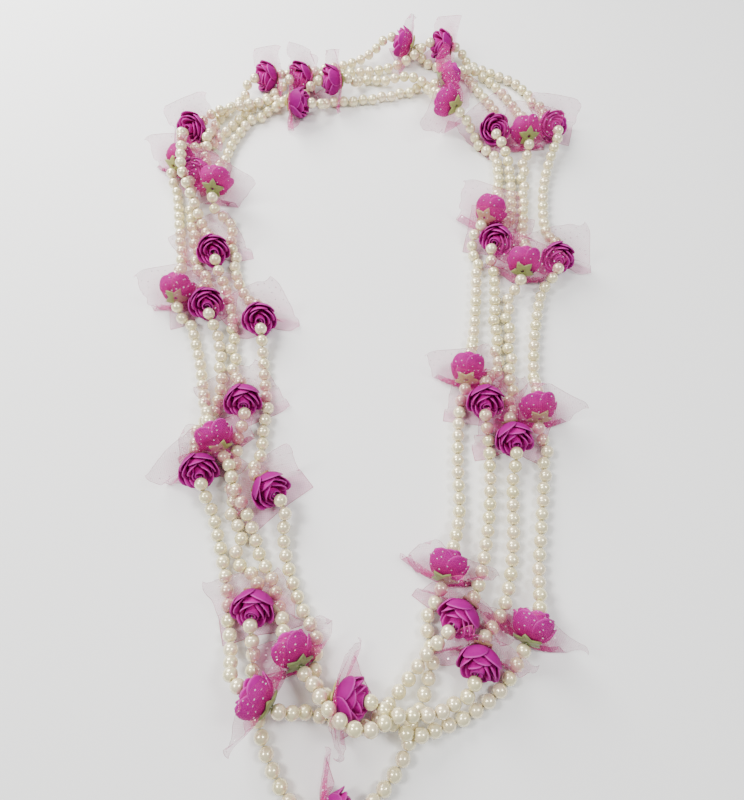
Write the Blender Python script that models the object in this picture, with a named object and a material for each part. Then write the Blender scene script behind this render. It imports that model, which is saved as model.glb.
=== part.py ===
"""Flower garland: pearl beads and foam roses on a thread, lying in a long loop of four strands.

Lengths are in millimetres up to the last step, which scales every mesh to metres. +Z is up, +Y runs
along the loop, and the origin is the middle of the footprint on the surface it lies on.
"""
from math import cos, pi, radians, sin

import bmesh
import bpy
import numpy as np
from mathutils import Vector

MM = 0.001
GARLAND = "flower_garland"

# Pearls
BEAD = 6.0
BEAD_R = BEAD / 2
PITCH = 6.05
THREAD_R = 0.5
BEAD_SIDES = 5
THREAD_SIDES = 3

# Rose: stations run along its axis, from 0 behind the petals to the rim of the face
ROSE_R = 8.7
HOLE_R = 1.1
PETALS = 5
WAIST = 5.5
CALYX_BEAD = -4.2    # middle of the bead behind the calyx
FACE_BEAD = 13.8     # middle of the bead in front of the bud
HALF_THREAD = 5.0    # where the threads of two neighbouring strings meet inside a rose
END_GAP = 0.3

# Tulle: a square of net round the foot of a rose. Two of its corners stand out at the sides and one
# stands up. The fourth is folded under. Each has the angles that it may stand at, in degrees round
# the rose from its lowest side, and is drawn in where it has less room.
TULLE_R = 5.2
TULLE_FOOT = 0.2
TULLE_THICK = 0.6
TULLE_SIDES = (100, 120, 140, 155)
TULLE_TOPS = (180, 172, 188, 164, 196)
SIDE_REACHES = (19.0, 16.0, 13.0, 10.0)
TOP_REACHES = (22.0, 19.0, 16.0, 13.0, 10.0)
CORNER_ROOM = 0.8
CORNER_R = 0.4
ROOT_SHARE = 0.15    # where the sample points of a corner start, from the ruffle to the tip
CORNER_ROWS = 14     # sample points along a corner and across it
CORNER_COLUMNS = 9

# Rose rings, from the back of the calyx round to the thread hole: material, station, radius and,
# where a ring waves, the station and radius of its notches. The net's edge has a station only.
PETAL, CALYX, TULLE = range(3)
ROSE_RINGS = (
    (CALYX, -0.8, HOLE_R),
    (CALYX, -0.5, 3.0, -0.5, 5.0),
    (TULLE, 0.0, 2.8),
    (TULLE, TULLE_FOOT),
    (TULLE, TULLE_FOOT + TULLE_THICK),
    (PETAL, 1.1, 3.6),
    (PETAL, 5.2, 7.2, 4.6, 6.4),
    (PETAL, 10.3, ROSE_R, 8.6, 7.0),
    (PETAL, 7.6, 5.0),
    (PETAL, 11.0, 4.7, 12.3, 6.0),
    (PETAL, 9.3, 2.9),
    (PETAL, 11.0, 2.3),
    (PETAL, 10.5, HOLE_R),
)

# Settling: balls on a thread push each other apart. Balls along a rose's axis (station, radius)
# keep its room. Shares are of a full correction at each step.
ROSE_BALLS = ((1.5, 5.4), (WAIST, 7.0), (9.5, 8.8))
PRESS = 0.8          # how far the lowest petal gives where it meets the surface
GRAZE = 0.15         # a petal that reaches less far below the surface is lifted, not cut
GAP = 0.45
STEPS = 500
CALM = 160           # the last steps, with no pull back to the routes
NEAR = 45.0          # balls further apart than this at the start never meet
BEND_SHARE = 0.95    # how near every second bead may come, of the straight way between them
GIVE_BEAD = 1.0
GIVE_ROSE = 0.35
HOLD_PLAN = 0.04
HOLD_BEAD_HEIGHT = 0.11
HOLD_ROSE_HEIGHT = 0.05
THREAD_PASSES = 6
THREAD_SHARE = 1.2
AXIS_SHARE = 0.8
PUSH_SHARE = 0.6
CURVE_STEPS = 24
FOOTPRINT_MIDDLE = (-0.8, -4.6)

# The rounds, as they lie. A row is a rose (x, y, heading of its face, tilt of its face, and its
# height where it lies on other strands), then the way of its string to the next rose (x, y, and
# the height of a bead's middle where it crosses over something).
ROUND_ONE = (
    ((54, 145, 130, 12), (62, 142), (70, 129), (76, 107), (73, 80)),
    ((67, 63, 75, 12), (62, 56), (59, 39), (57, 15), (54, -9)),
    ((50, -30, 80, 12), (46, -42), (44, -54), (42, -78), (42, -102)),
    ((35, -123, 75, 12), (32, -136), (28, -150), (24, -170), (18, -192), (6, -206)),
    ((-9, -212, 10, 12), (-26, -210), (-36, -195), (-42, -178), (-45, -160)),
    ((-44, -142, -65, 20), (-49, -128), (-54, -113), (-60, -90), (-62, -66)),
    ((-60, -48, -80, 12), (-64, -33), (-66, -18), (-69, 5), (-76, 27)),
    ((-81, 39, -75, 12), (-87, 55), (-96, 76, 13), (-104, 97, 19), (-104, 118, 12)),
    ((-102, 132, -125, 12), (-90, 144, 9), (-75, 150, 9), (-55, 161), (-36, 170)),
    ((-23, 170, 185, 12), (-10, 178), (6, 178), (29, 175, 9), (45, 162)),
)
ROUND_TWO = (
    ((78, 131, -85, 32), (82, 118, 8), (83, 104), (82, 84), (79, 66)),
    ((70, 46, -90, 12), (69, 34), (67, 18), (66, 1), (65, -24)),
    ((57, -48, -85, 12), (58, -60), (57, -75), (56, -94), (52, -116)),
    ((40, -143, -140, 12), (30, -153, 9), (22, -163), (12, -172), (-3, -180), (-18, -179), (-30, -174, 6)),
    ((-43, -171, 150, 12, 14), (-53, -159, 6), (-56, -140), (-61, -120), (-68, -98)),
    ((-74, -82, -80, 12), (-75, -68), (-72, -52), (-70, -34), (-74, -10)),
    ((-81, 8, -75, 12), (-84, 24), (-89, 38), (-94, 54), (-98, 74)),
    ((-96, 96, -70, 12), (-97, 110, 5), (-96, 125), (-90, 146), (-77, 163)),
    ((-63, 175, 190, 12), (-48, 184), (-30, 189), (-12, 194), (3, 200)),
    ((22, 204, 180, 12), (37, 198), (52, 191), (66, 174), (78, 152)),
)
ROUND_THREE = (
    ((93, 129, 95, 12), (92, 114), (90, 98), (88, 77), (85, 55)),
    ((80, 32, 85, 12), (75, 20), (73, 7), (71, -17), (70, -41)),
    ((68, -66, -85, 12), (67, -80), (66, -92), (64, -115), (58, -139)),
    ((44, -162, -105, 12), (39, -175), (27, -180, 9), (10, -178, 10), (-5, -180, 18), (-16, -171, 12)),
    ((-29, -154, 125, 12), (-37, -140), (-42, -126), (-49, -108), (-58, -88, 9)),
    ((-67, -66, 115, 12), (-74, -52, 9), (-78, -40, 5), (-83, -20), (-91, 2)),
    ((-96, 17, 95, 12), (-98, 31), (-100, 45), (-104, 67), (-107, 88)),
    ((-101, 105, 75, 12), (-97, 121), (-86, 134), (-74, 149), (-57, 166)),
    ((-42, 176, -150, 12), (-27, 184), (-6, 187), (14, 190), (32, 195, 9)),
    ((48, 200, -155, 12), (60, 197), (74, 188), (93, 176), (104, 156)),
    ((107, 133, -85, 32), (108, 118, 8), (104, 104), (100, 87), (98, 62)),
    ((98, 36, -100, 12), (92, 22), (89, 10), (85, -8), (82, -30)),
    ((81, -50, 90, 12), (83, -64), (82, -78), (78, -101), (74, -124)),
    ((68, -147, 65, 12), (62, -160), (54, -172), (36, -181), (16, -187)),
    ((-8, -177, -10, 12), (-17, -167), (-23, -152), (-29, -134), (-36, -112)),
    ((-42, -90, -35, 12), (-48, -78), (-48, -62), (-48, -43), (-51, -20)),
    ((-54, -1, -75, 20), (-61, 13), (-68, 27), (-73, 49), (-77, 68)),
    ((-89, 88, 140, 12), (-84, 106), (-80, 125), (-69, 145), (-54, 155)),
    ((-39, 152, -5, 12), (-24, 160), (-8, 161), (12, 165), (32, 171)),
    ((52, 176, 15, 12), (66, 183), (77, 178), (89, 158), (93, 144)),
)
ROUNDS = {"one": ROUND_ONE, "two": ROUND_TWO, "three": ROUND_THREE}


# How the strands lie

def direction(heading, tilt):
    """The way a rose faces, from its heading in plan and its tilt, in degrees."""
    h, t = radians(heading), radians(tilt)
    return np.array((cos(h) * cos(t), sin(h) * cos(t), sin(t)))


def curve_through(points):
    """Bead places, evenly spaced inside a smooth curve through the points; its ends are left out."""
    p = np.array(points, float)
    p = np.vstack((2 * p[0] - p[1], p, 2 * p[-1] - p[-2]))
    t = np.linspace(0, 1, CURVE_STEPS, endpoint=False)[:, None]
    runs = [
        b + 0.5 * ((c - a) * t + (2 * a - 5 * b + 4 * c - d) * t**2 + (3 * b - a - 3 * c + d) * t**3)
        for a, b, c, d in zip(p, p[1:], p[2:], p[3:])
    ]
    fine = np.vstack(runs + [p[-2:-1]])
    way = np.concatenate(([0], np.cumsum(np.linalg.norm(np.diff(fine, axis=0), axis=1))))
    count = round(way[-1] / PITCH) - 1
    stops = way[-1] * np.arange(1, count + 1) / (count + 1)
    return np.array([np.interp(stops, way, fine[:, k]) for k in range(3)]).T


def rose_group(rows, i):
    """The five balls of rose i in the order they are strung: (place, radius, station)."""
    x, y, heading, tilt = rows[i][0][:4]
    face = direction(heading, tilt)
    lying = max(r - (s - WAIST) * face[2] for s, r in ROSE_BALLS)
    height = rows[i][0][4] if len(rows[i][0]) > 4 else lying
    middle = np.array((x, y, height))
    stations = ((CALYX_BEAD, BEAD_R), *ROSE_BALLS, (FACE_BEAD, BEAD_R))
    group = [(middle + face * (s - WAIST), r, s) for s, r in stations]
    travel = np.subtract(rows[i][1][:2], rows[i - 1][-1][:2])
    return group if travel @ face[:2] > 0 else group[::-1]


def string_round(rows):
    """All balls of a round in order: (place, radius, station or None for a plain bead, row)."""
    groups = [rose_group(rows, i) for i in range(len(rows))]
    balls = []
    for i, row in enumerate(rows):
        balls += [(*ball, i) for ball in groups[i]]
        way = [point if len(point) > 2 else (*point, BEAD_R) for point in row[1:]]
        following = groups[(i + 1) % len(rows)]
        run = curve_through([groups[i][-1][0], *way, following[0][0]])
        balls += [(place, BEAD_R, None, i) for place in run]
    return balls


def spread(places, first, second, pull, share):
    """Moves pairs of balls apart by pull, a vector each, shared by how easily each gives."""
    np.add.at(places, first, pull * share[:, None])
    np.add.at(places, second, -pull * (1 - share)[:, None])


def straightened(groups, weight, along):
    """Each rose's balls and the beads beside it, moved onto one straight axis."""
    middle = np.einsum("k,nkx->nx", weight, groups)
    axis = np.einsum("k,nkx->nx", weight * along, groups - middle[:, None])
    axis /= np.linalg.norm(axis, axis=1)[:, None]
    return middle[:, None] + axis[:, None] * along[None, :, None]


def settle(rounds):
    """Places of all balls once the strands have pushed each other apart and lie on the surface."""
    home, radius, station, row, turn, loop = [], [], [], [], [], []
    for number, rows in enumerate(rounds):
        balls = string_round(rows)
        for order, (place, r, s, i) in enumerate(balls):
            home.append(place)
            radius.append(r)
            station.append(s)
            row.append(i)
            turn.append(number)
            loop.append((order, len(home) - 1 - order, len(balls)))
    home, radius, turn = np.array(home), np.array(radius), np.array(turn)
    order, start, size = np.array(loop).T
    is_rose = radius > BEAD_R
    give = np.where(is_rose, GIVE_ROSE, GIVE_BEAD)

    def step_ahead(i):
        """The next ball on the thread, and how far the thread runs to it."""
        j = start[i] + (order[i] + 1) % size[i]
        tied = station[i] is not None and station[j] is not None
        return j, abs(station[i] - station[j]) if tied else PITCH, tied

    links, bends = [], []
    for i in range(len(home)):
        j, first, tied = step_ahead(i)
        k, second, still_tied = step_ahead(j)
        if not tied:
            links.append((i, j, PITCH))
        if not (tied and still_tied):
            bends.append((i, k, BEND_SHARE * (first + second)))
    a, b, length = [np.array(column) for column in zip(*links)]
    c, d, least = [np.array(column) for column in zip(*bends)]
    ties = np.maximum(np.bincount(np.concatenate((a, b)), minlength=len(home)), 1)[:, None]
    on_rose = [k for k, s in enumerate(station) if s is not None]
    on_rose.sort(key=lambda k: (turn[k], row[k], station[k]))
    groups = np.array(on_rose).reshape(-1, len(ROSE_BALLS) + 2)
    weight = 1 / give[groups[0]]
    weight /= weight.sum()
    along = np.array([station[k] for k in groups[0]])
    along -= along @ weight

    i, j = np.triu_indices(len(home), 1)
    apart = np.abs(order[i] - order[j])
    apart = np.where(turn[i] == turn[j], np.minimum(apart, size[i] - apart), 99)
    free = (apart > 2) & (np.linalg.norm(home[i] - home[j], axis=1) < NEAR)
    i, j = i[free], j[free]
    reach = radius[i] + radius[j] + GAP
    floor = np.where(is_rose, radius - PRESS, radius)
    hold_height = np.where(is_rose, HOLD_ROSE_HEIGHT, HOLD_BEAD_HEIGHT)

    p = home.copy()
    for step in range(STEPS):
        ease = max(0.0, 1 - step / (STEPS - CALM))
        p[:, :2] += (home - p)[:, :2] * HOLD_PLAN * ease
        p[:, 2] += (home - p)[:, 2] * hold_height * ease
        for _ in range(THREAD_PASSES):
            moved = np.zeros_like(p)
            way = p[b] - p[a]
            long = np.linalg.norm(way, axis=1)
            spread(moved, a, b, way * ((long - length) / long)[:, None], give[a] / (give[a] + give[b]))
            way = p[d] - p[c]
            long = np.linalg.norm(way, axis=1)
            short = np.minimum(long - least, 0) / long
            spread(moved, c, d, way * short[:, None], np.full(len(c), 0.5))
            p += THREAD_SHARE * moved / ties
            p[groups] += AXIS_SHARE * (straightened(p[groups], weight, along) - p[groups])
        way = p[j] - p[i]
        far = np.linalg.norm(way, axis=1)
        hit = far < reach
        pull = way[hit] * ((far - reach) / far)[hit, None]
        moved = np.zeros_like(p)
        spread(moved, i[hit], j[hit], PUSH_SHARE * pull, (give[i] / (give[i] + give[j]))[hit])
        p += moved
        p[:, 2] = np.maximum(p[:, 2], floor)
    p[:, :2] -= FOOTPRINT_MIDDLE
    return p, radius, station, row, turn


class Rose:
    """A rose where it lies: its foot, the way it faces, and two directions across."""

    def __init__(self, foot, face):
        self.foot, self.face = foot, face
        self.side = np.cross(face, (0, 0, 1))
        self.side /= np.linalg.norm(self.side)
        self.top = np.cross(self.side, face)
        self.corners = []

    def at(self, station, r=0.0, angle=0.0):
        """The point r out from the axis; angle 0 is the lowest side, counted round the face."""
        out = sin(angle) * self.side - cos(angle) * self.top
        return self.foot + self.face * station + out * r


def read_round(places, station, row, picked):
    """A round's roses, and its spans of bead places, in order."""
    roses, spans = [], []
    for i in range(max(row[k] for k in picked) + 1):
        mine = [k for k in picked if row[k] == i]
        by_station = {station[k]: places[k] for k in mine if station[k] is not None}
        face = by_station[ROSE_BALLS[2][0]] - by_station[ROSE_BALLS[0][0]]
        face /= np.linalg.norm(face)
        rose = Rose(by_station[WAIST] - WAIST * face, face)
        rose.calyx_first = station[mine[0]] == CALYX_BEAD
        roses.append(rose)
        spans.append([places[k] for k in mine if station[k] is None])
    return roses, spans


# Tulle corners

def corner_points(rose, angle, reach):
    """Sample points over one corner of the net, for the room it has."""
    points = []
    for share in np.linspace(ROOT_SHARE, 1.0, CORNER_ROWS):
        r = TULLE_R + (reach - TULLE_R) * share
        for side in np.linspace(-1.0, 1.0, CORNER_COLUMNS):
            turn = side * (1 - share) * pi / PETALS
            points.append(rose.at(TULLE_FOOT + TULLE_THICK / 2, r, angle + turn))
    return np.array(points)


def edge_step(angle):
    """Which vertex of the net's edge a corner takes."""
    return round(angle / (pi / PETALS)) % (2 * PETALS)


def web_points(rose, corner, beside):
    """Sample points over the net between two corners whose vertices are neighbours."""
    if abs(edge_step(corner[1]) - edge_step(beside[1])) != 1:
        return np.empty((0, 3))
    foot = rose.at(TULLE_FOOT + TULLE_THICK / 2)
    tips = [foot + rose.at(0.0, *tip) - rose.foot for tip in (corner, beside)]
    edge = np.linspace(*tips, CORNER_ROWS)
    shares = np.linspace(ROOT_SHARE, 1.0, CORNER_ROWS)[:, None, None]
    return (foot + shares * (edge - foot)).reshape(-1, 3)


def fit_corners(roses, places, radius, owner):
    """Turns each tulle corner to where it has the most room, clear of other strands and corners."""
    spots, sizes = places.copy(), radius.copy()
    corners = ((TULLE_SIDES, 1, SIDE_REACHES), (TULLE_SIDES, -1, SIDE_REACHES), (TULLE_TOPS, 1, TOP_REACHES))
    for number, rose in enumerate(roses):
        others = owner != number
        for turns, side, reaches in corners:
            best = (0.0, 0.0)
            for turn in turns:
                angle = side * radians(turn)
                for reach in reaches:
                    webs = [web_points(rose, (reach, angle), corner) for corner in rose.corners]
                    points = np.vstack([corner_points(rose, angle, reach), *webs])
                    away = np.linalg.norm(points[:, None] - spots[None, others], axis=2)
                    if reach > best[0] and (away - sizes[None, others]).min() > CORNER_ROOM:
                        best = (reach, angle)
            if best[0]:
                webs = [web_points(rose, best, corner) for corner in rose.corners]
                points = np.vstack([corner_points(rose, best[1], best[0]), *webs])
                rose.corners.append(best)
                spots = np.vstack((spots, points))
                sizes = np.concatenate((sizes, np.full(len(points), CORNER_R)))
                owner = np.concatenate((owner, np.full(len(points), number)))
                others = owner != number


# Meshes from rings

def zip_rings(bm, low, high, material=0):
    """Triangles between two closed rings, which may have unlike numbers of vertices."""
    i = j = 0
    while i < len(low) or j < len(high):
        a, b = low[i % len(low)], high[j % len(high)]
        if j == len(high) or (i < len(low) and (i + 0.5) / len(low) <= (j + 0.5) / len(high)):
            face = bm.faces.new((a, low[(i + 1) % len(low)], b))
            i += 1
        else:
            face = bm.faces.new((a, high[(j + 1) % len(high)], b))
            j += 1
        face.material_index = material
        face.smooth = True


def add_ring(bm, points):
    return [bm.verts.new(Vector(point)) for point in points]


def round_ring(centre, along, r, sides):
    """A ring across the way along, its first vertex lowest."""
    side = np.cross(along, (0, 0, 1))
    side /= np.linalg.norm(side)
    top = np.cross(side, along)
    turns = [2 * pi * k / sides for k in range(sides)]
    return [centre + r * (sin(t) * side - cos(t) * top) for t in turns]


def finish(bm, name, collection, materials):
    """Turns a bmesh in millimetres into an object in metres, faces outward."""
    bmesh.ops.recalc_face_normals(bm, faces=bm.faces)
    bmesh.ops.scale(bm, vec=(MM, MM, MM), verts=bm.verts)
    mesh = bpy.data.meshes.new(name)
    bm.to_mesh(mesh)
    bm.free()
    for material in materials:
        mesh.materials.append(material)
    thing = bpy.data.objects.new(name, mesh)
    collection.objects.link(thing)
    return thing


# Pearl strings

def bead_rings(beads, way_in, way_out):
    """Rings along touching beads: a neck, then an equator and a neck for each bead."""
    steps = [q - p for p, q in zip(beads, beads[1:])]
    steps = [way_in, *[step / np.linalg.norm(step) for step in steps], way_out]
    necks = [beads[0] - way_in * BEAD_R]
    necks += [(p + q) / 2 for p, q in zip(beads, beads[1:])]
    necks.append(beads[-1] + way_out * BEAD_R)
    rings = [round_ring(necks[0], way_in, THREAD_R, THREAD_SIDES)]
    for k, bead in enumerate(beads):
        way = steps[k] + steps[k + 1]
        rings.append(round_ring(bead, way / np.linalg.norm(way), BEAD_R, BEAD_SIDES))
        rings.append(round_ring(necks[k + 1], steps[k + 1], THREAD_R, THREAD_SIDES))
    return rings


def rose_side_beads(rose):
    """The beads before and after a rose, and the way the thread runs through it."""
    calyx, face = rose.at(CALYX_BEAD), rose.at(FACE_BEAD)
    if rose.calyx_first:
        return calyx, face, rose.face
    return face, calyx, -rose.face


def make_string(name, roses, spans, collection, material):
    """Two spans of beads on one thread: from inside a rose, through the next, into the one after."""
    first, middle, last = roses
    bm = bmesh.new()
    _, start, way_in = rose_side_beads(first)
    before, after, way = rose_side_beads(middle)
    stop, _, way_out = rose_side_beads(last)
    end = first.at(HALF_THREAD) + way_in * END_GAP / 2
    rings = [round_ring(end, way_in, THREAD_R, THREAD_SIDES)]
    rings += bead_rings([start, *spans[0], before], way_in, way)
    rings += bead_rings([after, *spans[1], stop], way, way_out)
    end = last.at(HALF_THREAD) - way_out * END_GAP / 2
    rings.append(round_ring(end, way_out, THREAD_R, THREAD_SIDES))
    rings = [add_ring(bm, ring) for ring in rings]
    for low, high in zip(rings, rings[1:]):
        zip_rings(bm, low, high)
    bm.faces.new(rings[0])
    bm.faces.new(rings[-1])
    return finish(bm, name, collection, [material])


# Roses

def lobed(rose, station, r, notch_station, notch_r):
    """A ring that waves between petal tips and the notches between them."""
    steps = ((station, r), (notch_station, notch_r)) * PETALS
    return [rose.at(*step, pi * k / PETALS) for k, step in enumerate(steps)]


def plain(rose, station, r):
    return [rose.at(station, r, 2 * pi * k / PETALS) for k in range(PETALS)]


def net_edge(rose, station):
    """The edge of the tulle: a small ruffle with the corners that stand out."""
    reach = [TULLE_R] * (2 * PETALS)
    angles = [pi * k / PETALS for k in range(2 * PETALS)]
    for length, angle in rose.corners:
        k = edge_step(angle)
        reach[k] = length
        angles[k] = angle % (2 * pi)
    return [rose.at(station, r, angle) for r, angle in zip(reach, angles)]


def rose_ring(rose, numbers):
    """A ring of the list above, by how many numbers it has."""
    shape = {1: net_edge, 2: plain, 4: lobed}[len(numbers)]
    return shape(rose, *numbers)


def make_rose(name, rose, collection, materials):
    """Calyx, tulle, five outer petals, five inner petals and the bud, round a hole for the thread."""
    bm = bmesh.new()
    loops = [add_ring(bm, rose_ring(rose, numbers)) for _, *numbers in ROSE_RINGS]
    for k, low in enumerate(loops):
        zip_rings(bm, low, loops[(k + 1) % len(loops)], ROSE_RINGS[k][0])
    press_flat(bm)
    return finish(bm, name, collection, materials)


def press_flat(bm):
    """Takes off what would reach below the surface, which leaves a small flat spot."""
    for vert in bm.verts:
        if -GRAZE < vert.co.z < 0:
            vert.co.z = 0.0
    everything = bm.verts[:] + bm.edges[:] + bm.faces[:]
    bmesh.ops.bisect_plane(
        bm, geom=everything, plane_co=(0, 0, 0), plane_no=(0, 0, -1), clear_outer=True
    )
    rim = [edge for edge in bm.edges if edge.is_boundary]
    for vert in {vert for edge in rim for vert in edge.verts}:
        vert.co.z = 0.0
    bmesh.ops.holes_fill(bm, edges=rim)
    bmesh.ops.triangulate(bm, faces=bm.faces)


# Materials

def plastic(name, colour, roughness, coat=0.0):
    material = bpy.data.materials.new(name)
    material.use_nodes = True
    shader = material.node_tree.nodes["Principled BSDF"]
    shader.inputs["Base Color"].default_value = (*colour, 1)
    shader.inputs["Roughness"].default_value = roughness
    shader.inputs["Metallic"].default_value = 0.0
    shader.inputs["Coat Weight"].default_value = coat
    return material


def main():
    for thing in list(bpy.data.objects):
        bpy.data.objects.remove(thing)
    collection = bpy.data.collections.new(GARLAND)
    bpy.context.scene.collection.children.link(collection)
    pearl = plastic("pearl", (0.86, 0.82, 0.70), 0.25, coat=0.6)
    foam = plastic("foam_petal", (0.48, 0.03, 0.36), 0.6)
    leaf = plastic("calyx_green", (0.30, 0.32, 0.12), 0.6)
    net = plastic("pink_tulle", (0.78, 0.55, 0.64), 0.7)

    places, radius, station, row, turn = settle(ROUNDS.values())
    rounds = []
    owner = np.full(len(places), -1)
    for number in range(len(ROUNDS)):
        picked = np.flatnonzero(turn == number)
        rounds.append(read_round(places, station, row, picked))
    count = 0
    for number, (roses, _) in enumerate(rounds):
        for i in range(len(roses)):
            mine = (turn == number) & (np.array(row) == i)
            owner[mine & (radius > BEAD_R)] = count
            count += 1
    fit_corners([rose for roses, _ in rounds for rose in roses], places, radius, owner)

    for word, (roses, spans) in zip(ROUNDS, rounds):
        total = len(roses)
        for i, rose in enumerate(roses):
            make_rose(f"rose_{word}_{i + 1:02d}", rose, collection, [foam, leaf, net])
        for i in range(0, total, 2):
            held = [roses[i], roses[i + 1], roses[(i + 2) % total]]
            name = f"pearls_{word}_{i // 2 + 1:02d}"
            make_string(name, held, spans[i:i + 2], collection, pearl)


main()
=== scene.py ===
from math import cos, pi, radians, sin

import bmesh
import bpy
import numpy as np
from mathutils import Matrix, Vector


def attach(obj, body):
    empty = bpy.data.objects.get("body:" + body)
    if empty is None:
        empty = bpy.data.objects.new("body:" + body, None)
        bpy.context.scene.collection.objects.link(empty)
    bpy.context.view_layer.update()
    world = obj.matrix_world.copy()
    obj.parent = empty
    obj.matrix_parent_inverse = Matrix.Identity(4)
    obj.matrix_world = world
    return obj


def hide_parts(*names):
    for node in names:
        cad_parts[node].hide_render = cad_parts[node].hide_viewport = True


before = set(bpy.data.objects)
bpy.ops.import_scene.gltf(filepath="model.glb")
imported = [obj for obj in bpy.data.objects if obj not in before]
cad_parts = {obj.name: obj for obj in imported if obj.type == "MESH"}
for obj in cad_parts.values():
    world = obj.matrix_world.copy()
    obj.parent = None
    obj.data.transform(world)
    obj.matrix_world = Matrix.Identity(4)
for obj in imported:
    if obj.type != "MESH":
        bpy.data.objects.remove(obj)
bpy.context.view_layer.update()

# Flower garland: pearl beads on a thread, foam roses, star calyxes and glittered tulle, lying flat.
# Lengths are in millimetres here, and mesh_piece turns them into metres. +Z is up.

MM = 0.001

# Sizes that the solids have too
BEAD_R = 3.0
CALYX_BEAD = -4.2        # stations along a rose's axis, from 0 behind its petals
FACE_BEAD = 13.8
ROSE_BACK = -0.8
ROSE_FRONT = 12.3
ROSE_R = 8.7
ROSE_BALLS = ((1.5, 5.4), (5.5, 7.0), (9.5, 8.8))
CORNER_OUT = 0.6         # a point this far beyond the petals belongs to a tulle corner
TOP_FROM = 2.75          # a tulle corner further round than this, in radians, is the upper one
PAIR_SLACK = 0.1         # between two beads' distance and what a rose between them needs
ENDS_SLACK = 0.2         # between a rose's two ends and where they should be
SOLID_THREAD_SIDES = 3   # a ring with more points than the thread's goes round a bead

# Pearls and thread
BEAD_SIDES = 20
BEAD_RINGS = 10
BEAD_HOLE_R = 0.45
BORE_STEP = 0.1          # how much narrower the bore is inside than at its mouths
BORE_ENDS = 0.9          # where it narrows, of the bead's radius
THREAD_R = 0.28
THREAD_SIDES = 6

# Petals: how many in a layer, the width and how far round each layer starts, and the profile from
# the foot to the tip as four control points (radius, station)
FOAM = 0.8
FOAM_GAP = 0.06          # what stays between pressed foam and a bead
LAYERS = (
    (5, 12.6, 0.0, ((2.3, 1.1), (7.6, 1.2), (7.7, 5.6), (8.5, 9.5))),
    (5, 10.4, 0.55, ((2.1, 1.6), (5.9, 2.2), (5.9, 7.0), (6.8, 10.9))),
    (3, 9.6, 0.2, ((1.9, 2.6), (4.3, 3.2), (3.9, 8.2), (5.0, 11.8))),
)
PETAL_SIDES = 20
PETAL_RINGS = 6
PETAL_LEAST_R = 1.5      # no petal comes closer to the axis
PETAL_BEND_R = 2.2       # nor bends round it more tightly
FOOT_WIDTH = 0.55        # of a petal's width
WIDEST_AT = 0.6          # of a petal's length
IMBRICATE = 0.65         # how far one side of a petal lies outside the other
RIM_THIN = 0.8           # how much of the foam's thickness is rounded off at a petal's rim
CURL_FROM = 0.6          # the share of the way to the rim where the curl outward starts
SIDE_TUCK = 0.5          # how far a tip's sides are drawn in
WIDTHS = (0.94, 1.08)    # ranges that each petal draws from
REACHES = (0.93, 1.03)
TURNS = (-0.08, 0.08)
TIPS_OUT = (-0.1, 0.2)
CURLS = (0.2, 0.6)
SOFT_FLOOR = 1.5         # foam below this height is pressed towards the surface
ROSE_MIDDLE = 5.5        # station that a rose leans about
LEAN = 20.0              # degrees that a rose leans on its thread when it lies along the loop

# Bud: a strip of foam rolled round the thread hole
BUD_TURNS = 1.6
BUD_R = (0.75, 2.7)
BUD_LOW, BUD_WAIST, BUD_HIGH = 3.4, 8.0, 11.2
BUD_STEPS = 34
BUD_FOAM = 0.6
BUD_ROUND = 0.3          # how far below its top edge the strip starts to round off
BUD_RISE = 0.55          # how much higher the strip's outer end is
BUD_DROP = 0.5           # how far its last part then falls away
BUD_DROP_FROM = 0.85

# Calyx
STAR_POINTS = 5
STAR_TIP, STAR_NOTCH = 6.3, 3.4
STAR_SHARP = 1.3         # 1 is a wavy edge, more makes the points narrower
STAR_FOAM = 0.8
STAR_FRONT = -0.15       # station of its front, which the petals sit on
STAR_FLAT_R = 2.5        # beyond this its points bend round the petals
STAR_BEND = 0.05
STAR_EDGE = 0.15         # how much smaller its front is than its back
STAR_RINGS = 5
STAR_HOLE_R = 0.9

# Tulle
NET_SIDE = 35.0
NET_CELLS = 22
NET_PINNED = 3.7
NET_STATION = 0.45
NET_FLARE_R = 5.0        # beyond this the net leans forward round the petals
NET_FLARE = 0.35
NET_PULL = (2.5, 3.5)    # how far forward of a solid corner and beyond it the net's corner goes
NET_PULL_SHARE = 0.05    # of the way that is left, in each round of the first half
UPPER_FROM = 1.9         # the net's upper part, from this angle on, never falls back over the star
NET_ROUNDS = 130
NET_SWEEPS = 4           # of the springs in a round
NET_GIVE = (0.45, 0.45, 0.45, 0.45, 0.25, 0.25)
NET_DROP = 0.015         # how far the net sinks in a round
NET_ROOM = 0.45          # between the net and what it rests on
NET_MESH = 0.85          # pitch of the net's holes
NET_OFF_BALLS = 0.2      # how far the balls that stand for the other roses are drawn in
BALLS_WITHIN = 1.1       # of the net's side
STAR_ROOM = 0.3          # between the star's front and edge and the net
STAR_DEPTH = 3.0         # net this close behind or before the star is moved to its front
SHELL_STATION = 0.95     # outside of the petals: station by radius, as a parabola
SHELL_R = 2.3
SHELL_BEND = 0.065
SHELL_SIDE_R = 6.8       # net that is further out and further forward moves outward instead
SHELL_SIDE = 2.0
SHELL_OUT = 0.4

# Glitter
FLAKE_SIDES = 6
FLAKE_ROWS = 9
FLAKE_STRAY = 0.3        # of the distance between rows
FLAKE_R = (0.22, 0.38)
FLAKE_THICK = 0.08
FLAKE_LIFT = 0.05
FLAKE_LOWEST = 0.02

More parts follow.
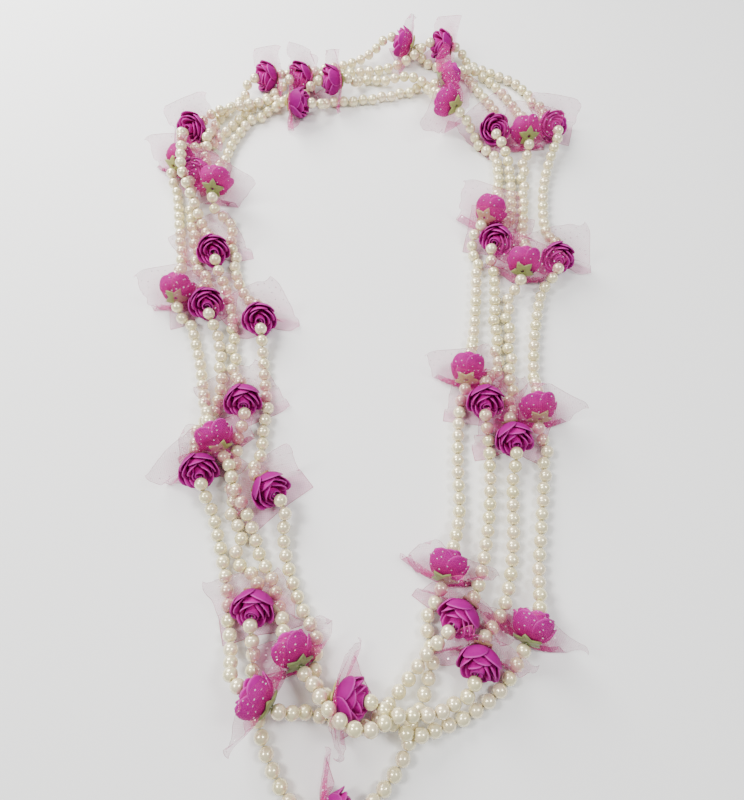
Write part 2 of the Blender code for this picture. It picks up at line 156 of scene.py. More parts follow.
# Colours, and stops of (position, colour) for a value from 0 to 1
WHITE, BLACK = (1.0, 1.0, 1.0), (0.0, 0.0, 0.0)
PEARL_TINTS = ((0.0, (0.83, 0.76, 0.43)), (0.5, (0.86, 0.78, 0.49)), (1.0, (0.87, 0.75, 0.51)))
PEARL_CLOUD = ((0.3, (0.93, 0.92, 0.88)), (0.7, WHITE))
FOAM_BODY = ((0.3, (0.26, 0.001, 0.165)), (0.7, (0.32, 0.002, 0.205)))
# Painted light: a brighter, redder pink deep in a rose's folds, standing for light passed through the foam
PAINTED_FOLD_LIGHT = (0.84, 0.002, 0.38)
# Painted highlight: a lighter pink along the petal rims, where the foam's edge catches the light
PAINTED_RIM_LIGHT = (0.60, 0.08, 0.42)
CALYX_TONES = ((0.0, (0.15, 0.20, 0.06)), (0.6, (0.34, 0.34, 0.09)), (1.0, (0.50, 0.46, 0.13)))
CALYX_MOTTLE = ((0.3, (0.82, 0.82, 0.80)), (0.7, WHITE))
THREAD_TONES = ((0.3, (0.70, 0.68, 0.62)), (0.7, (0.84, 0.82, 0.76)))
NET_BODY = (0.60, 0.030, 0.28)
NET_MIDDLE = (0.56, 0.008, 0.18)
NET_EDGE = (0.40, 0.09, 0.16)
GLITTER_TONES = (
    (0.0, (0.92, 0.90, 0.92)), (0.45, (0.90, 0.62, 0.74)),
    (0.75, (0.95, 0.80, 0.80)), (1.0, (0.80, 0.84, 0.92)),
)
FLOOR_TONES = ((0.3, (0.87, 0.87, 0.86)), (0.7, (0.91, 0.91, 0.90)))

# How much of a colour shows, and where it starts: painted light deep in the folds, and a painted highlight
# on the rims
FOLD_LIGHT_SHARE = 0.9
RIM_LIGHT_SHARE = 0.5
RIM_LIGHT_FROM, RIM_LIGHT_TO = 0.90, 0.99
NET_HAZE = 0.23          # how much of the light the net stops, and what is added to that
HAZE_GATHERED = 0.42     # at its middle
HAZE_THREAD = 0.14       # on a thread
HAZE_EDGE = 0.5          # along the cut edge
GATHERED_R = 16.0        # how far the denser middle reaches
EDGE_WIDTH = 0.22        # of the cut edge
THREAD_FROM = 0.41       # half a mesh is 0.5, and what lies beyond this is thread

# Random draws: one row for the strings, one for the roses
STRING_SEED, ROSE_SEED = 6, 17

# Camera: worked out from the spacing of the beads over the whole photo
PHOTO = (744, 800)
FOCAL_PIXELS = 631.3
SENSOR = 36.0
CAMERA_PLACE = (3.8, -169.4, 276.7)
CAMERA_DOWN = 64.59


# Reading the frame

def merged(node):
    """A node's points, with doubles joined, and each point's neighbours along the edges."""
    bm = bmesh.new()
    bm.from_mesh(node.data)
    bmesh.ops.remove_doubles(bm, verts=bm.verts, dist=1e-6)
    points = np.array([vert.co[:] for vert in bm.verts]) / MM
    near = [[edge.other_vert(vert).index for edge in vert.link_edges] for vert in bm.verts]
    bm.free()
    return points, near


def steps_from(start, near):
    """The points by how many edges they are from the start, as a list of sets."""
    seen, rings = set(start), [set(start)]
    while True:
        ring = {j for i in rings[-1] for j in near[i]} - seen
        if not ring:
            return rings
        seen |= ring
        rings.append(ring)


def string_rings(node):
    """A string's rings in order: (centre, whether it goes round a bead)."""
    points, near = merged(node)
    tip = next(iter(steps_from([0], near)[-1]))
    start = np.flatnonzero(np.linalg.norm(points - points[tip], axis=1) < BEAD_R / 2)
    return [(points[sorted(ring)].mean(0), len(ring) > SOLID_THREAD_SIDES)
            for ring in steps_from(start, near)]


class Rose:
    """A rose where it lies: its foot, the way it faces, two directions across, tulle corners."""

    def __init__(self, name, foot, face):
        self.name, self.foot, self.face = name, foot, face
        self.side = np.cross(face, (0, 0, 1))
        self.side /= np.linalg.norm(self.side)
        self.top = np.cross(self.side, face)
        self.corners = []

    def at(self, station, r, angle):
        """Points r out from the axis; angle 0 is the lowest side, counted round the face."""
        station, r, angle = (np.asarray(x, float)[..., None] for x in (station, r, angle))
        out = np.sin(angle) * self.side - np.cos(angle) * self.top
        return self.foot + self.face * station + out * r

    def lean(self):
        """Tips the rose on its thread: a face towards the near end looks up, one away from it down."""
        turn = radians(LEAN) * -self.face[1]
        middle = self.foot + self.face * ROSE_MIDDLE
        self.face, self.top = (
            cos(turn) * self.face + sin(turn) * self.top, cos(turn) * self.top - sin(turn) * self.face
        )
        self.foot = middle - self.face * ROSE_MIDDLE

    def local(self, points):
        """Stations, radii and angles of points."""
        away = points - self.foot
        station = away @ self.face
        aside, up = away @ self.side, away @ self.top
        return station, np.hypot(aside, up), np.arctan2(aside, -up)


def find_rose(name, node, beads):
    """The rose that a node holds, from the pair of beads that it sits between."""
    points, _ = merged(node)
    close = beads[np.linalg.norm(beads - points.mean(0), axis=1) < FACE_BEAD + BEAD_R]
    for calyx in close:
        for front in close:
            way = front - calyx
            long = np.linalg.norm(way)
            if abs(long - (FACE_BEAD - CALYX_BEAD)) > PAIR_SLACK:
                continue
            rose = Rose(name, calyx - way / long * CALYX_BEAD, way / long)
            station, r, angle = rose.local(points)
            if abs(station.min() - ROSE_BACK) + abs(station.max() - ROSE_FRONT) < ENDS_SLACK:
                angle %= 2 * pi
                bounds = (0, TOP_FROM, 2 * pi - TOP_FROM, 2 * pi)
                for low, high in zip(bounds, bounds[1:]):
                    out = (r > ROSE_R + CORNER_OUT) & (angle > low) & (angle < high)
                    if out.any():
                        rose.corners.append((r[out].max(), angle[out].mean()))
                rose.lean()
                return rose
    raise ValueError(f"no bead pair fits {name}")


# Meshes

def mesh_piece(name, points, faces, material, values=None, smooth=True):
    """An object from points in millimetres, with one number or vector a point for the material."""
    mesh = bpy.data.meshes.new(name)
    mesh.from_pydata((np.asarray(points) * MM).tolist(), [], [list(face) for face in faces])
    mesh.materials.append(material)
    for word, data in (values or {}).items():
        data = np.asarray(data, np.float32)
        kind, key = ("FLOAT", "value") if data.ndim == 1 else ("FLOAT_VECTOR", "vector")
        mesh.attributes.new(word, kind, "POINT").data.foreach_set(key, data.ravel())
    mesh.polygons.foreach_set("use_smooth", [smooth] * len(mesh.polygons))
    thing = bpy.data.objects.new(name, mesh)
    bpy.context.scene.collection.objects.link(thing)
    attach(thing, "root")
    return thing


class Heap:
    """Bodies gathered into one mesh, with their values."""

    def __init__(self):
        self.points, self.faces, self.values, self.count = [], [], {}, 0

    def add(self, points, faces, **values):
        self.points.append(points)
        self.faces += [[k + self.count for k in face] for face in faces]
        for word, data in values.items():
            self.values.setdefault(word, []).append(np.broadcast_to(data, len(points)))
        self.count += len(points)

    def piece(self, name, material, slot, smooth=True):
        values = {word: np.concatenate(data) for word, data in self.values.items()}
        return mesh_piece(name, np.vstack(self.points), self.faces, material, values, smooth)


def loop_faces(rows, sides):
    """Quads of a closed tube whose rings run round in a loop too."""
    return [
        (i * sides + k, i * sides + (k + 1) % sides,
         (i + 1) % rows * sides + (k + 1) % sides, (i + 1) % rows * sides + k)
        for i in range(rows) for k in range(sides)
    ]


def across(way):
    """Two directions square to the way and to each other."""
    side = np.cross(way, (0.0, 0.0, 1.0))
    side /= np.linalg.norm(side)
    return side, np.cross(side, way)


# Pearls and thread

def bead_form():
    """Points of a drilled bead about +Z, and its faces."""
    first = np.arcsin(BEAD_HOLE_R / BEAD_R)
    bend = np.linspace(first, pi - first, BEAD_RINGS)
    profile = [(BEAD_R * sin(t), BEAD_R * cos(t)) for t in bend]
    inner = BEAD_HOLE_R - BORE_STEP
    profile += [(inner, -BEAD_R * BORE_ENDS), (inner, BEAD_R * BORE_ENDS)]
    turns = 2 * pi * np.arange(BEAD_SIDES) / BEAD_SIDES
    points = np.array([(r * cos(t), r * sin(t), z) for r, z in profile for t in turns])
    return points, loop_faces(len(profile), BEAD_SIDES)


def add_thread(heap, path):
    """A thin thread through the points, closed at its ends."""
    ways = np.gradient(path, axis=0)
    turns = 2 * pi * np.arange(THREAD_SIDES) / THREAD_SIDES
    points = []
    for place, way in zip(path, ways):
        side, top = across(way / np.linalg.norm(way))
        points += [place + THREAD_R * (cos(t) * side + sin(t) * top) for t in turns]
    faces = loop_faces(len(path), THREAD_SIDES)[:-THREAD_SIDES]
    last = (len(path) - 1) * THREAD_SIDES
    faces += [tuple(range(THREAD_SIDES))[::-1], tuple(range(last, last + THREAD_SIDES))]
    heap.add(np.array(points), faces)


def make_strings(strings, materials, rng):
    form, faces = bead_form()
    for name, rings in strings.items():
        centres = np.array([centre for centre, _ in rings])
        ways = np.gradient(centres, axis=0)
        beads, thread = Heap(), Heap()
        for k, (centre, is_bead) in enumerate(rings):
            if is_bead:
                way = ways[k] / np.linalg.norm(ways[k])
                side, top = across(way)
                turn = rng.uniform(0, 2 * pi)
                x, y = cos(turn) * side + sin(turn) * top, cos(turn) * top - sin(turn) * side
                points = centre + form @ np.array((x, y, way))
                beads.add(points, faces, tone=rng.uniform(0, 1))
        add_thread(thread, centres)
        piece = beads.piece(f"{name}_beads", materials["pearl"], "pearl")
        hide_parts(name)
        thread.piece(f"{name}_thread", materials["thread"], "thread")


# Roses

def bezier(points, share):
    a, b, c, d = (np.array(point) for point in points)
    t = np.asarray(share)[..., None]
    return (1 - t)**3 * a + 3 * (1 - t)**2 * t * b + 3 * (1 - t) * t**2 * c + t**3 * d


def disc_form():
    """A petal's outline filled with rings: side share and length share of each point, and rim share."""
    rings, sides = range(1, PETAL_RINGS + 1), range(PETAL_SIDES)
    rim = np.array([0.0] + [ring / PETAL_RINGS for ring in rings for _ in sides])
    turns = np.array([0.0] + [2 * pi * k / PETAL_SIDES for _ in rings for k in sides])
    x, y = rim * np.cos(turns), (1 + rim * np.sin(turns)) / 2
    narrow = FOOT_WIDTH + (1 - FOOT_WIDTH) * np.clip(y / WIDEST_AT, 0, 1)**0.8
    faces = [(0, 1 + k, 1 + (k + 1) % PETAL_SIDES) for k in sides]
    for i in range(PETAL_RINGS - 1):
        low = 1 + i * PETAL_SIDES
        for k in sides:
            after = (k + 1) % PETAL_SIDES
            faces.append((low + k, low + PETAL_SIDES + k, low + PETAL_SIDES + after, low + after))
    return x * narrow, y, rim, faces


def shell(points, faces, thick, rim):
    """Both sides of a thin sheet, its thickness rounded off towards the rim."""
    normals = np.zeros_like(points)
    for face in faces:
        a, b, c = points[face[0]], points[face[1]], points[face[2]]
        normals[list(face)] += np.cross(b - a, c - a)
    normals /= np.linalg.norm(normals, axis=1)[:, None]
    half = (thick / 2 * np.sqrt(1 - RIM_THIN * rim**8))[:, None] * normals
    count = len(points)
    edge = range(count - PETAL_SIDES, count)
    both = [*faces, *[[k + count for k in face[::-1]] for face in faces]]
    for k in range(PETAL_SIDES):
        i, j = edge[k], edge[(k + 1) % PETAL_SIDES]
        both.append((j, i, i + count, j + count))
    return np.vstack((points + half, points - half)), both


def petal(disc, number, layer, rose, rng):
    """One petal wrapped round the rose: points, faces, and how far each is to the rim and inside, which
    the foam's colour turns into a painted highlight on the rim and painted light in the folds.
    """
    count, width, start, profile = layer
    x, y, rim, faces = disc
    width *= rng.uniform(*WIDTHS)
    reach = rng.uniform(*REACHES)
    middle = 2 * pi * (number + start) / count + rng.uniform(*TURNS)
    path = bezier(profile, y * reach)
    r, station = path[:, 0], path[:, 1]
    r = r + IMBRICATE * x * np.clip(y * 2, 0, 1) + rng.uniform(*TIPS_OUT) * y
    curl = np.clip((rim - CURL_FROM) / (1 - CURL_FROM), 0, 1)**2 * np.clip(y - 0.5, 0, 1) * 2
    r = r + curl * rng.uniform(*CURLS) - SIDE_TUCK * x**2 * (y > 0.5) * (y - 0.5)
    angle = middle + x * width / 2 / np.maximum(r, PETAL_BEND_R)
    points = rose.at(station, np.maximum(r, PETAL_LEAST_R), angle)
    points, faces = shell(points, faces, FOAM, rim)
    # Painted light in the folds: strongest at a petal's foot, and on only one side of the outer layer's
    # petals
    inner = np.clip(1 - y, 0, 1)**0.8
    outer = inner * 0 if layer is LAYERS[0] else inner
    return points, faces, np.tile(rim, 2), np.concatenate((inner, outer))


def bud(rose, rng):
    """The rolled strip in the middle, a spiral wall: points, faces, how near its top and how deep, for a
    painted highlight at its top edge and painted light towards its foot.
    """
    share = np.linspace(0, 1, BUD_STEPS)
    start = rng.uniform(0, 2 * pi)
    angle = start + 2 * pi * BUD_TURNS * share
    r = BUD_R[0] + (BUD_R[1] - BUD_R[0]) * share
    drop = np.clip((share - BUD_DROP_FROM) / (1 - BUD_DROP_FROM), 0, 1)**2
    high = BUD_HIGH + BUD_RISE * share - BUD_DROP * drop
    outline = (
        (BUD_LOW, 0, 0.0), (BUD_LOW, 1, 0.0), (BUD_WAIST, 1, 0.3), (high - BUD_ROUND, 1, 0.9),
        (high, 0.5, 1.0), (high - BUD_ROUND, 0, 0.9), (BUD_WAIST, 0, 0.3),
    )
    rows = []
    for station, out, _ in outline:
        rows.append(rose.at(np.broadcast_to(station, BUD_STEPS), r + out * BUD_FOAM, angle))
    sides = len(rows)
    points = np.stack(rows, axis=1).reshape(-1, 3)
    faces = loop_faces(BUD_STEPS, sides)[:-sides]
    last = (BUD_STEPS - 1) * sides
    faces = [face[::-1] for face in faces]
    faces += [tuple(range(sides)), tuple(range(last, last + sides))[::-1]]
    top = np.tile([rim for _, _, rim in outline], BUD_STEPS)
    return points, faces, top, 1 - top


def press(points, beads):
    """Foam gives way to beads, and is squeezed flat onto the surface without going through it."""
    for bead in beads:
        away = points - bead
        far = np.linalg.norm(away, axis=1)[:, None]
        points = np.where(far < BEAD_R + FOAM_GAP, bead + away / far * (BEAD_R + FOAM_GAP), points)
    z = points[:, 2]
    low = SOFT_FLOOR * np.exp((np.minimum(z, SOFT_FLOOR) - SOFT_FLOOR) / SOFT_FLOOR)
    points[:, 2] = np.where(z < SOFT_FLOOR, low, z)
    return points


def beads_at(rose, beads):
    """The beads that a rose's foam can touch."""
    middle = rose.foot + rose.face * ROSE_MIDDLE
    return beads[np.linalg.norm(beads - middle, axis=1) < 2 * ROSE_R]


def make_petals(rose, beads, disc, materials, rng):
    heap = Heap()
    for layer in LAYERS:
        for number in range(layer[0]):
            points, faces, rim, deep = petal(disc, number, layer, rose, rng)
            heap.add(press(points, beads), faces, rim=rim, deep=deep)
    points, faces, rim, deep = bud(rose, rng)
    heap.add(press(points, beads), faces, rim=rim, deep=deep)
    return heap.piece(f"{rose.name}_petals", materials["foam"], "foam_petal")


def make_calyx(rose, beads, materials, rng):
    """A flat star of thin foam round the thread hole, its points bent a little to the petals."""
    sides = 4 * STAR_POINTS
    turns = 2 * pi * np.arange(sides) / sides
    wave = (1 + np.cos(STAR_POINTS * turns)) / 2
    edge = STAR_NOTCH + (STAR_TIP - STAR_NOTCH) * wave**STAR_SHARP
    start = rng.uniform(0, 2 * pi)
    rows = []
    for back in (1, 0):
        shares = np.linspace(0, 1, STAR_RINGS)
        for share in shares if back else shares[::-1]:
            r = STAR_HOLE_R + (edge - STAR_HOLE_R - STAR_EDGE * (1 - back)) * share
            bent = STAR_BEND * np.maximum(r - STAR_FLAT_R, 0)**2
            rows.append(rose.at(STAR_FRONT - back * STAR_FOAM + bent, r, start + turns))
    points = np.vstack(rows)
    faces = [face[::-1] for face in loop_faces(2 * STAR_RINGS, sides)]
    heap = Heap()
    heap.add(press(points, beads), faces, tone=rng.uniform(0, 1))
    return heap.piece(f"{rose.name}_calyx", materials["calyx"], "calyx_green")


# Tulle

def balls_near(rose, roses, beads):
    """Beads, and balls that fill the other roses, near a rose's foot: x, y, z, radius."""
    balls = [(*bead, BEAD_R) for bead in beads]
    for other in roses:
        if other is not rose:
            balls += [(*other.at(station, 0, 0), r - NET_OFF_BALLS) for station, r in ROSE_BALLS]
    balls = np.array(balls)
    return balls[np.linalg.norm(balls[:, :3] - rose.foot, axis=1) < NET_SIDE * BALLS_WITHIN]


def net_start(rose, r, bearing):
    """A net before it falls, and where its corners are drawn: (corner cell, target) pairs."""
    corner_cells = ((0, 0), (0, -1), (-1, 0), (-1, -1))
    wanted = rose.corners or [(NET_SIDE / 2, pi / 2)]
    turn = wanted[0][1] - pi / 4
    sweep = NET_STATION + NET_FLARE * np.maximum(r - NET_FLARE_R, 0)
    forward, beyond = NET_PULL
    pulls = []
    for reach, angle in wanted:
        gaps = [abs((bearing[cell] + turn - angle + pi) % (2 * pi) - pi) for cell in corner_cells]
        cell = corner_cells[int(np.argmin(gaps))]
        pulls.append((cell, rose.at(NET_STATION + forward, reach + beyond, angle)))
    return rose.at(sweep, r, bearing + turn), pulls


def net_springs():
    """The two ends of each set of springs, over all the nets, with the springs' length and give."""
    every, low, high = slice(None), slice(None, -1), slice(1, None)
    far_low, far_high = slice(None, -2), slice(2, None)
    pitch = NET_SIDE / NET_CELLS
    ends = (
        ((every, high, every), (every, low, every), pitch),
        ((every, every, high), (every, every, low), pitch),
        ((every, high, high), (every, low, low), pitch * 2**0.5),
        ((every, high, low), (every, low, high), pitch * 2**0.5),
        ((every, far_high, every), (every, far_low, every), pitch * 2),
        ((every, every, far_high), (every, every, far_low), pitch * 2),
    )
    return [(*end, give) for end, give in zip(ends, NET_GIVE)]


def star_station(out):
    """Where the net lies on the front of the star, by the distance from the axis."""
    return -STAR_FRONT + STAR_BEND * np.maximum(out - STAR_FLAT_R, 0)**2


def clear_net(q, rose, balls):
    """A net's points moved off the balls, the rose's own star and petals, and the surface."""
    away = q[:, None] - balls[:, :3]
    far = np.linalg.norm(away, axis=2)
    want = balls[:, 3] + NET_ROOM
    q = q + (np.maximum(want - far, 0)[..., None] * away / np.maximum(far, 0.01)[..., None]).sum(1)
    station, out, angle = rose.local(q)
    back = (np.abs(angle) > UPPER_FROM) & (out < NET_SIDE / 2) & (station < NET_STATION)
    station = np.where(back, NET_STATION, station)
    star, at_star = star_station(out), out < STAR_TIP + STAR_ROOM
    station = np.where(at_star & (np.abs(station) < STAR_DEPTH), np.maximum(station, star), station)
    limit = SHELL_STATION + SHELL_BEND * np.maximum(out - SHELL_R, 0)**2 - NET_ROOM / 2
    moved = back | (at_star & (station <= star))
    inside = (out < ROSE_R + SHELL_OUT) & (station > limit) & (station < ROSE_FRONT)
    outward = inside & (out > SHELL_SIDE_R) & (station > limit + SHELL_SIDE)
    station = np.where(inside & ~outward, limit, station)
    out = np.where(outward, ROSE_R + SHELL_OUT, out)
    q = np.where((inside | moved)[:, None], rose.at(station, out, angle), q)
    q[:, 2] = np.maximum(q[:, 2], NET_ROOM / 2)
    return q


def net_places(roses, beads):
    """Where the squares of net come to lie: pinned at the roses, stiff, clear of beads and petals."""
    flat = np.linspace(-NET_SIDE / 2, NET_SIDE / 2, NET_CELLS + 1)
    x, y = np.meshgrid(flat, flat, indexing="ij")
    r, bearing = np.hypot(x, y), np.arctan2(y, x)
    pinned = (r < NET_PINNED)[None, :, :, None]
    starts = [net_start(rose, r, bearing) for rose in roses]
    p = np.array([start for start, _ in starts])
    held = p.copy()
    near = [balls_near(rose, roses, beads) for rose in roses]
    springs = net_springs()
    for step in range(NET_ROUNDS):
        if step < NET_ROUNDS / 2:
            for k, (_, pulls) in enumerate(starts):
                for cell, target in pulls:
                    p[(k, *cell)] += NET_PULL_SHARE * (target - p[(k, *cell)])
        p[..., 2] -= NET_DROP
        for _ in range(NET_SWEEPS):
            for b, a, length, give in springs:
                way = p[b] - p[a]
                long = np.linalg.norm(way, axis=-1, keepdims=True)
                pull = way * (give * (long - length) / long)
                p[b] -= pull / 2
                p[a] += pull / 2
            p = np.where(pinned, held, p)
        for k, rose in enumerate(roses):
            p[k] = clear_net(p[k].reshape(-1, 3), rose, near[k]).reshape(p[k].shape)
        p = np.where(pinned, held, p)
    return p, np.stack((x, y, 0 * x), axis=-1)


def make_tulle(rose, places, flat, materials):
    """The net as one sheet, open where the thread goes through its middle."""
    side = NET_CELLS + 1
    middle = NET_CELLS // 2
    faces = [
        (i * side + k, (i + 1) * side + k, (i + 1) * side + k + 1, i * side + k + 1)
        for i in range(NET_CELLS) for k in range(NET_CELLS)
        if not (i in (middle - 1, middle) and k in (middle - 1, middle))
    ]
    keep = sorted({k for face in faces for k in face})
    order = {k: n for n, k in enumerate(keep)}
    faces = [[order[k] for k in face] for face in faces]
    points, flat = places.reshape(-1, 3)[keep], flat.reshape(-1, 3)[keep]
    values = {"flat": flat}
    return mesh_piece(f"{rose.name}_tulle", points, faces, materials["net"], values)


def make_glitter(rose, places, materials, rng):
    """Small six-sided flakes stuck to the net."""
    heap = Heap()
    turns = 2 * pi * np.arange(FLAKE_SIDES) / FLAKE_SIDES
    faces = [tuple(range(FLAKE_SIDES))[::-1], tuple(range(FLAKE_SIDES, 2 * FLAKE_SIDES))]
    for n in range(FLAKE_SIDES):
        after = (n + 1) % FLAKE_SIDES
        faces.append((n, after, after + FLAKE_SIDES, n + FLAKE_SIDES))
    for number in range(FLAKE_ROWS**2):
        spot = np.array(divmod(number, FLAKE_ROWS)) + 0.5 + rng.uniform(-FLAKE_STRAY, FLAKE_STRAY, 2)
        if np.abs(spot / FLAKE_ROWS - 0.5).max() * NET_SIDE < NET_PINNED:
            continue
        (i, u), (k, v) = [(int(q), q % 1) for q in spot * NET_CELLS / FLAKE_ROWS]
        a, b, c, d = places[i, k], places[i + 1, k], places[i, k + 1], places[i + 1, k + 1]
        middle = a * (1 - u) * (1 - v) + b * u * (1 - v) + c * (1 - u) * v + d * u * v
        normal = np.cross(b - a, c - a)
        normal /= np.linalg.norm(normal)
        normal *= 1 if normal[2] >= 0 else -1
        side, top = across(normal + (0.001, 0, 0))
        r = rng.uniform(*FLAKE_R)
        ring = [r * (cos(t) * side + sin(t) * top) for t in turns]
        low = middle + normal * FLAKE_LIFT
        high = low + normal * FLAKE_THICK
        points = np.array([low + q for q in ring] + [high + q for q in ring])
        points[:, 2] = np.maximum(points[:, 2], FLAKE_LOWEST)
        heap.add(points, faces, tone=rng.uniform(0, 1))
    return heap.piece(f"{rose.name}_glitter", materials["glitter"], "pink_tulle", smooth=False)


# Materials

class Look:
    """A material under construction: its nodes, and short ways to join them."""

    def __init__(self, name, **sockets):
        self.material = bpy.data.materials.new(name)
        self.material.use_nodes = True
        self.tree = self.material.node_tree
        self.shader = self.tree.nodes["Principled BSDF"]
        for word, value in sockets.items():
            self.shader.inputs[word.replace("_", " ")].default_value = value

    def node(self, kind, **settings):
        node = self.tree.nodes.new(kind)
        for word, value in settings.items():
            setattr(node, word, value)
        return node

    def join(self, source, target):
        self.tree.links.new(source, target)
        return target

    def value(self, name):
        return self.node("ShaderNodeAttribute", attribute_name=name).outputs["Fac"]

    def noise(self, scale, detail=2.0):
        place = self.node("ShaderNodeTexCoord").outputs["Object"]
        node = self.node("ShaderNodeTexNoise")
        node.inputs["Scale"].default_value = scale
        node.inputs["Detail"].default_value = detail
        self.join(place, node.inputs["Vector"])
        return node.outputs["Fac"]

    def ramp(self, source, *stops):
        """Colours by a value: (position, colour) stops."""
        node = self.node("ShaderNodeValToRGB")
        while len(node.color_ramp.elements) < len(stops):
            node.color_ramp.elements.new(0.5)
        for element, (position, colour) in zip(node.color_ramp.elements, stops):
            element.position = position
            element.color = (*colour, 1)
        self.join(source, node.inputs["Fac"])
        return node.outputs["Color"]

    def mix(self, share, first, second, blend="MIX"):
        node = self.node("ShaderNodeMix", data_type="RGBA", blend_type=blend)
        for source, target in ((share, node.inputs[0]), (first, node.inputs[6]), (second, node.inputs[7])):
            if isinstance(source, (int, float)):
                target.default_value = source
            elif isinstance(source, tuple):
                target.default_value = (*source, 1)
            else:
                self.join(source, target)
        return node.outputs[2]

    def math(self, operation, *sources, clamp=False):
        node = self.node("ShaderNodeMath", operation=operation, use_clamp=clamp)
        for source, target in zip(sources, node.inputs):
            if isinstance(source, (int, float)):
                target.default_value = source
            else:
                self.join(source, target)
        return node.outputs[0]

    def bump(self, height, distance, strength):
        node = self.node("ShaderNodeBump")
        node.inputs["Strength"].default_value = strength
        node.inputs["Distance"].default_value = distance
        self.join(height, node.inputs["Height"])
        self.join(node.outputs["Normal"], self.shader.inputs["Normal"])

    def colour(self, source):
        self.join(source, self.shader.inputs["Base Color"])

    def roughness(self, scale, spread, least):
        """Roughness from least up, varied by noise."""
        rough = self.math("MULTIPLY_ADD", self.noise(scale), spread, least)
        self.join(rough, self.shader.inputs["Roughness"])


def pearl():
    look = Look("pearl_lacquer", Metallic=0.35, Coat_Weight=1.0, Coat_Roughness=0.04, Coat_IOR=1.7)
    tint = look.ramp(look.value("tone"), *PEARL_TINTS)
    cloud = look.ramp(look.noise(260.0), *PEARL_CLOUD)
    look.colour(look.mix(1.0, tint, cloud, "MULTIPLY"))
    look.roughness(420.0, spread=0.08, least=0.22)
    look.bump(look.noise(900.0, detail=1.0), distance=0.00002, strength=0.3)
    return look.material


def foam():
    look = Look("magenta_foam", Specular_IOR_Level=0.10)
    body = look.ramp(look.noise(160.0), *FOAM_BODY)
    # Painted light: a brighter red deep in the folds stands for light passed through the foam
    fold_lit = look.mix(look.math("MULTIPLY", look.value("deep"), FOLD_LIGHT_SHARE), body, PAINTED_FOLD_LIGHT)
    edge = look.ramp(look.value("rim"), (RIM_LIGHT_FROM, BLACK), (RIM_LIGHT_TO, WHITE))
    # Painted highlight: lighter pink along the rims, where light catches the foam's edge
    look.colour(look.mix(look.math("MULTIPLY", edge, RIM_LIGHT_SHARE), fold_lit, PAINTED_RIM_LIGHT))
    look.roughness(500.0, spread=0.2, least=0.4)
    look.bump(look.noise(2600.0, detail=3.0), distance=0.00005, strength=0.35)
    return look.material


def calyx():
    look = Look("olive_foam", Sheen_Weight=0.15)
    tone = look.ramp(look.value("tone"), *CALYX_TONES)
    mottle = look.ramp(look.noise(300.0), *CALYX_MOTTLE)
    look.colour(look.mix(1.0, tone, mottle, "MULTIPLY"))
    look.roughness(500.0, spread=0.2, least=0.5)
    look.bump(look.noise(2400.0, detail=3.0), distance=0.00005, strength=0.35)
    return look.material


def nylon():
    look = Look("nylon_thread")
    look.colour(look.ramp(look.noise(900.0), *THREAD_TONES))
    look.roughness(900.0, spread=0.2, least=0.35)
    return look.material


def net():
    """Pink net, see-through between its threads, denser at its middle and along the cut edge."""
    look = Look("pink_net", Roughness=0.6, Specular_IOR_Level=0.2)
    place = look.node("ShaderNodeAttribute", attribute_name="flat").outputs["Vector"]
    split = look.node("ShaderNodeSeparateXYZ")
    look.join(place, split.inputs[0])
    x, y = split.outputs[0], split.outputs[1]
    threads = []
    for operation in ("ADD", "SUBTRACT"):
        along = look.math("MULTIPLY", look.math(operation, x, y), 1 / (NET_MESH * 2**0.5))
        wave = look.math("ABSOLUTE", look.math("SUBTRACT", look.math("FRACT", along), 0.5))
        threads.append(look.math("GREATER_THAN", wave, THREAD_FROM))
    thread = look.math("MAXIMUM", *threads)
    out = look.node("ShaderNodeVectorMath", operation="LENGTH")
    look.join(place, out.inputs[0])
    outward = look.math("DIVIDE", out.outputs["Value"], GATHERED_R)
    gathered = look.math("SUBTRACT", 1.0, outward, clamp=True)
    far = look.math("MAXIMUM", look.math("ABSOLUTE", x), look.math("ABSOLUTE", y))
    cut = look.math("GREATER_THAN", far, NET_SIDE / 2 - EDGE_WIDTH)
    alpha = look.math("MULTIPLY_ADD", gathered, HAZE_GATHERED, NET_HAZE)
    alpha = look.math("ADD", alpha, look.math("MULTIPLY", thread, HAZE_THREAD))
    alpha = look.math("ADD", alpha, look.math("MULTIPLY", cut, HAZE_EDGE), clamp=True)
    look.join(alpha, look.shader.inputs["Alpha"])
    look.colour(look.mix(cut, look.mix(gathered, NET_BODY, NET_MIDDLE), NET_EDGE))
    return look.material


def glitter():
    look = Look("glitter", Metallic=0.4, Roughness=0.25)
    look.colour(look.ramp(look.value("tone"), *GLITTER_TONES))
    return look.material


# Stage

def floor():
    look = Look("pale_cloth", Roughness=0.9)
    look.colour(look.ramp(look.noise(3.0), *FLOOR_TONES))
    bpy.ops.mesh.primitive_plane_add(size=6.0, location=(0, 0, 0))
    thing = bpy.context.object
    thing.name = "floor"
    thing.data.materials.append(look.material)


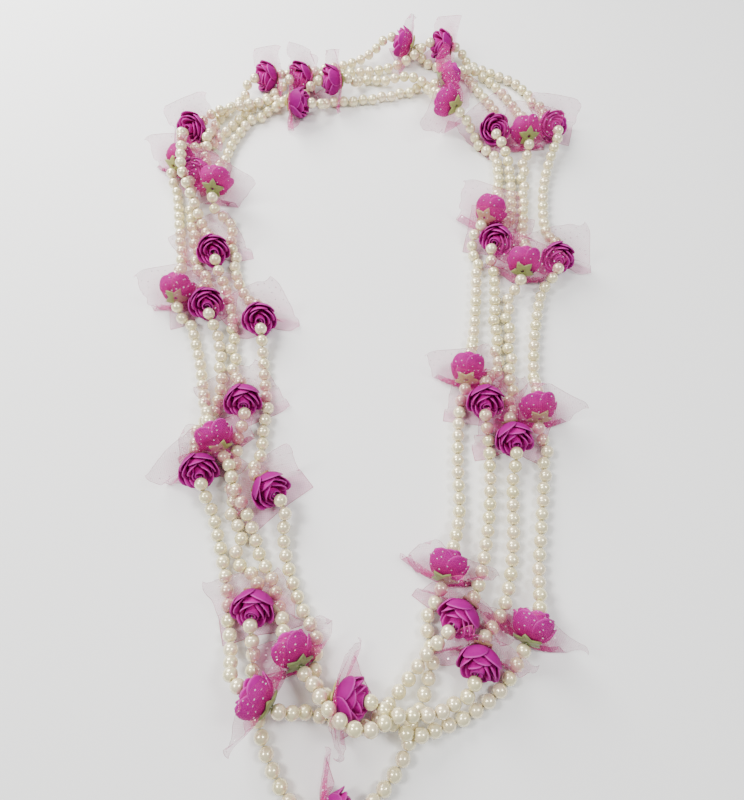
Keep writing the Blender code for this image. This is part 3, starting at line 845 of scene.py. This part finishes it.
def lamp(name, place, size, watts, colour=(1, 1, 1)):
    data = bpy.data.lights.new(name, "AREA")
    data.shape = "RECTANGLE"
    data.size, data.size_y = size
    data.energy = watts
    data.color = colour
    thing = bpy.data.objects.new(name, data)
    thing.location = place
    thing.rotation_euler = (-Vector(place)).to_track_quat("-Z", "Y").to_euler()
    bpy.context.scene.collection.objects.link(thing)


def lights():
    lamp("strip_left", (-0.60, -0.06, 0.86), (0.26, 0.34), 9.5, (1.0, 0.99, 0.97))
    lamp("strip_right", (0.50, -0.04, 0.90), (0.22, 0.28), 6.5)
    lamp("window", (-0.36, 0.52, 0.42), (0.40, 0.40), 11.0, (1.0, 0.99, 0.98))
    world = bpy.data.worlds.new("studio")
    world.use_nodes = True
    background = world.node_tree.nodes["Background"]
    background.inputs["Color"].default_value = (0.90, 0.92, 0.95, 1)
    background.inputs["Strength"].default_value = 0.48
    bpy.context.scene.world = world


def camera():
    data = bpy.data.cameras.new("camera")
    data.sensor_width = SENSOR
    data.lens = FOCAL_PIXELS / max(PHOTO) * SENSOR
    data.clip_start = 0.01
    thing = bpy.data.objects.new("camera", data)
    thing.location = Vector(CAMERA_PLACE) * MM
    thing.rotation_euler = (radians(90 - CAMERA_DOWN), 0, 0)
    bpy.context.scene.collection.objects.link(thing)
    bpy.context.scene.camera = thing


def main():
    camera()
    floor()
    lights()
    materials = {
        "pearl": pearl(), "foam": foam(), "calyx": calyx(),
        "thread": nylon(), "net": net(), "glitter": glitter(),
    }
    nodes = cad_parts
    names = sorted(nodes)
    strings = {name: string_rings(nodes[name]) for name in names if name.startswith("pearls")}
    make_strings(strings, materials, np.random.default_rng(STRING_SEED))
    beads = np.array([centre for rings in strings.values() for centre, is_bead in rings if is_bead])
    roses = [find_rose(name, nodes[name], beads) for name in names if name.startswith("rose")]

    rng = np.random.default_rng(ROSE_SEED)
    disc = disc_form()
    places, flat = net_places(roses, beads)
    for rose, net_at in zip(roses, places):
        close = beads_at(rose, beads)
        petals = make_petals(rose, close, disc, materials, rng)
        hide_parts(rose.name)
        make_calyx(rose, close, materials, rng)
        tulle = make_tulle(rose, net_at, flat, materials)
        flakes = make_glitter(rose, net_at, materials, rng)


main()
